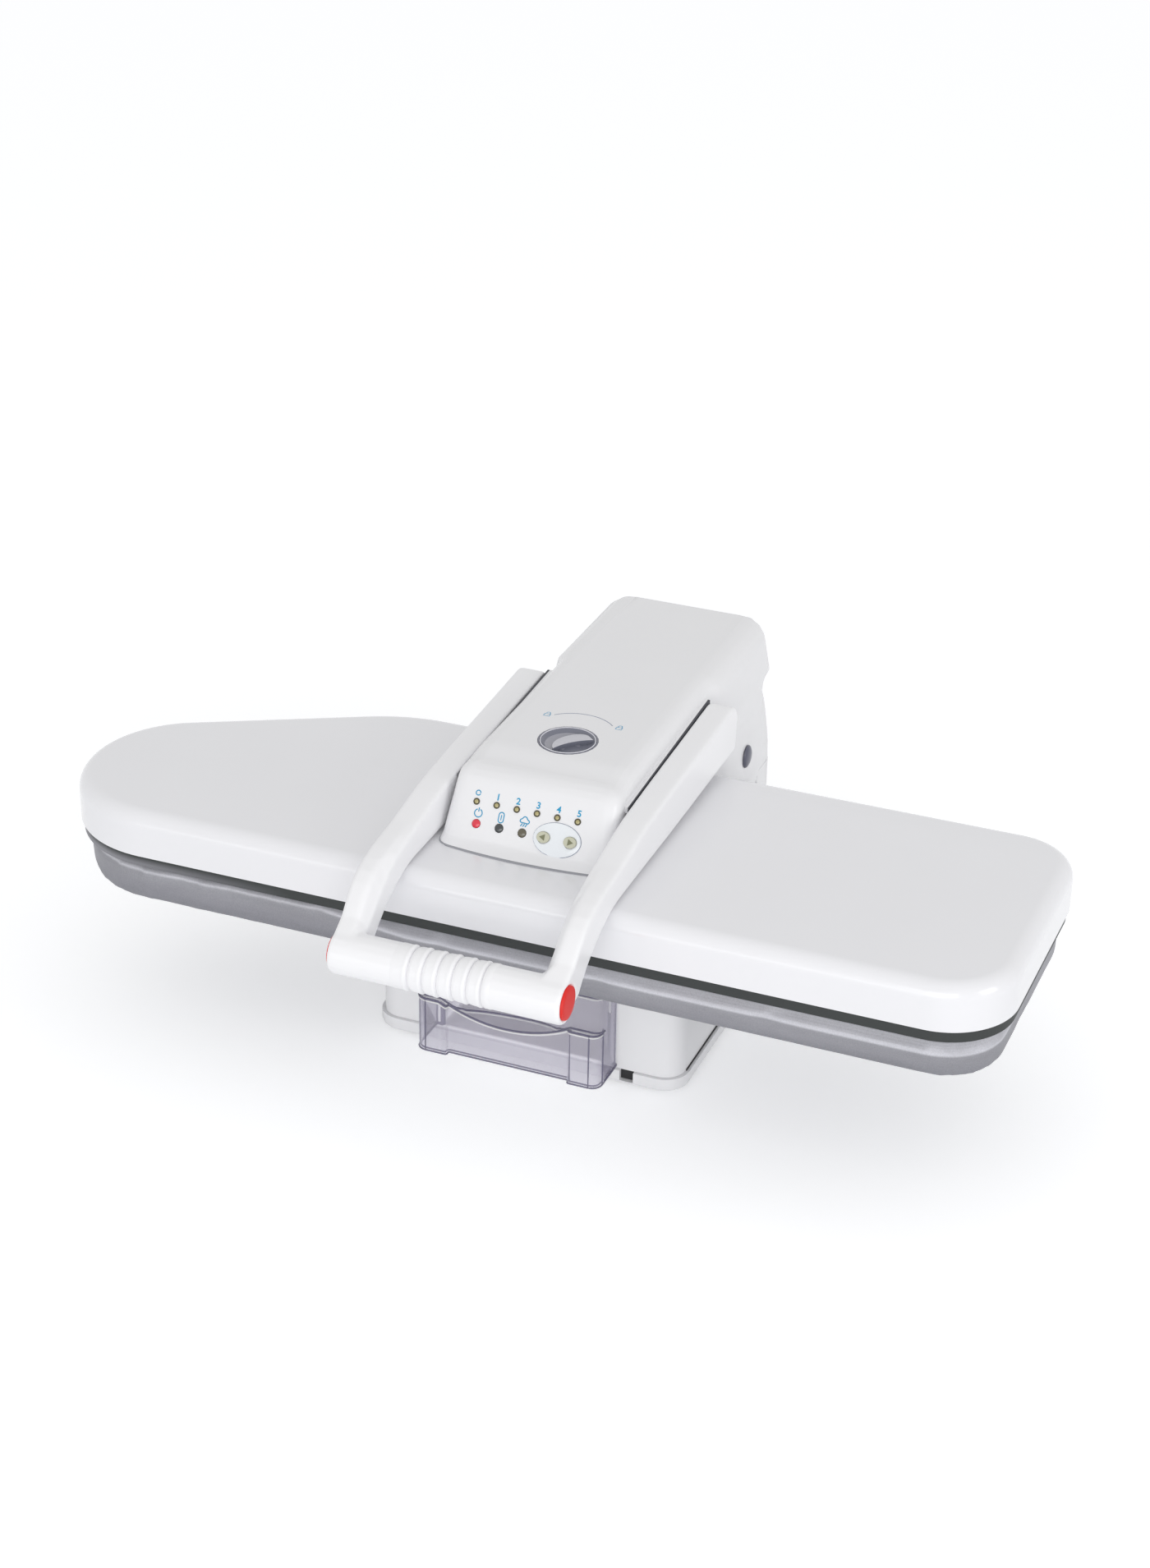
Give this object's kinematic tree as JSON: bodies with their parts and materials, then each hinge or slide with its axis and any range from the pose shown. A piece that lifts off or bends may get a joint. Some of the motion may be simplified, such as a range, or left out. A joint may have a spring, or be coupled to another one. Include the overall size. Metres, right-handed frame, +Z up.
{
  "type": "steam ironing press",
  "caption": "Tabletop steam ironing press: padded tapered board under a hinged heated lid with lever handle, lock knob, button panel and pull-out water tank.",
  "frame": {"origin": "on the table, under the middle of the bounding box", "axes": "+X runs along the board to its square end, -Y faces the person ironing, +Z is up"},
  "size_m": [0.83, 0.5665, 0.2676],
  "materials": {
    "cover_white": "glossy white",
    "white_plastic": "glossy white",
    "grey_plastic": "metallic grey",
    "dark_plastic": "matt dark grey",
    "red_plastic": "glossy red",
    "button_plastic": "satin khaki",
    "clear_plastic": "clear, faint violet tint",
    "silver_fabric": "silvered cotton",
    "foam_white": "soft felt and foam",
    "aluminium": "cast and ground",
    "steel": "bright steel",
    "zinc_steel": "zinc plated",
    "brass": "turned",
    "rubber": "black rubber",
    "hose_silicone": "milky silicone",
    "board_green": "circuit board green",
    "lens_red": "red lens",
    "lens_dark": "smoked lens",
    "lens_olive": "olive lens",
    "lens_amber": "amber lens"
  },
  "bodies": {
    "base": {"base_shell": "white_plastic", "bottom_tray": "white_plastic", "foot_1": "rubber", "foot_2": "rubber", "foot_3": "rubber", "foot_4": "rubber", "tank_bay": "white_plastic", "valve_socket": "dark_plastic", "board_cover": "silver_fabric", "board_foam": "foam_white", "board_pan": "zinc_steel", "hinge_column": "zinc_steel", "hinge_bush_left": "brass", "hinge_bush_right": "brass", "hinge_shaft": "steel", "lift_spring_left": "steel", "lift_spring_right": "steel", "rear_housing": "white_plastic", "pump": "dark_plastic", "pump_cradle": "rubber", "suction_hose": "hose_silicone", "feed_hose": "hose_silicone", "power_board": "board_green", "power_relay": "dark_plastic", "cord_gland": "dark_plastic"},
    "arm": {"plate_cover": "cover_white", "heating_plate": "aluminium", "edge_frame": "dark_plastic", "steam_chamber": "aluminium", "heating_element": "steel", "thermostat": "zinc_steel", "arm_casing": "white_plastic", "hinge_cap_left": "grey_plastic", "hinge_cap_right": "grey_plastic", "arm_beam": "zinc_steel", "knob_cup": "grey_plastic", "led_light_guide": "lens_amber", "lamp_power": "lens_red", "lamp_heat": "lens_dark", "lamp_steam": "lens_olive", "button_plate": "white_plastic", "control_board": "board_green", "handle_pin_left": "steel", "handle_pin_right": "steel", "steam_hose": "hose_silicone"},
    "handle": {"handle_arm_left": "white_plastic", "handle_arm_right": "white_plastic", "grip_disc_left": "red_plastic", "grip_disc_right": "red_plastic", "handle_rod": "steel", "handle_grip": "white_plastic"},
    "knob": {"lock_knob": "grey_plastic", "lock_cam": "zinc_steel"},
    "bolt": {"lock_bolt": "steel"},
    "button_left": {"set_button_left": "button_plastic"},
    "button_right": {"set_button_right": "button_plastic"},
    "tank": {"water_tank": "clear_plastic", "tank_valve": "white_plastic", "valve_seal": "rubber"}
  },
  "joints": [
    {"name": "arm_hinge", "type": "hinge", "parent": "base", "child": "arm", "pos_m": [0, 0.1912, 0.168], "axis": [-1, 0, 0], "range_deg": [0, 50]},
    {"name": "handle_hinge", "type": "hinge", "parent": "arm", "child": "handle", "pos_m": [0, 0.1032, 0.234], "axis": [-1, 0, 0], "range_deg": [0, 12]},
    {"name": "lock_turn", "type": "hinge", "parent": "arm", "child": "knob", "pos_m": [0, -0.0228, 0.264], "axis": [0, -0.0125, 0.9999], "range_deg": [0, 82]},
    {"name": "bolt_slide", "type": "slide", "parent": "arm", "child": "bolt", "axis": [0, -1, 0], "range_m": [0, 0.008]},
    {"name": "button_left_press", "type": "slide", "parent": "arm", "child": "button_left", "axis": [0, 0.8548, -0.519], "range_m": [0, 0.001], "stiffness_N_per_m": 500, "springref_m": -0.0005},
    {"name": "button_right_press", "type": "slide", "parent": "arm", "child": "button_right", "axis": [0, 0.8548, -0.519], "range_m": [0, 0.001], "stiffness_N_per_m": 500, "springref_m": -0.0005},
    {"name": "tank_slide", "type": "slide", "parent": "base", "child": "tank", "axis": [0, -1, 0], "range_m": [0, 0.115]}
  ],
  "couplings": [
    {"joint": "bolt_slide", "follows": "lock_turn", "m_per_rad": 0.0055}
  ]
}
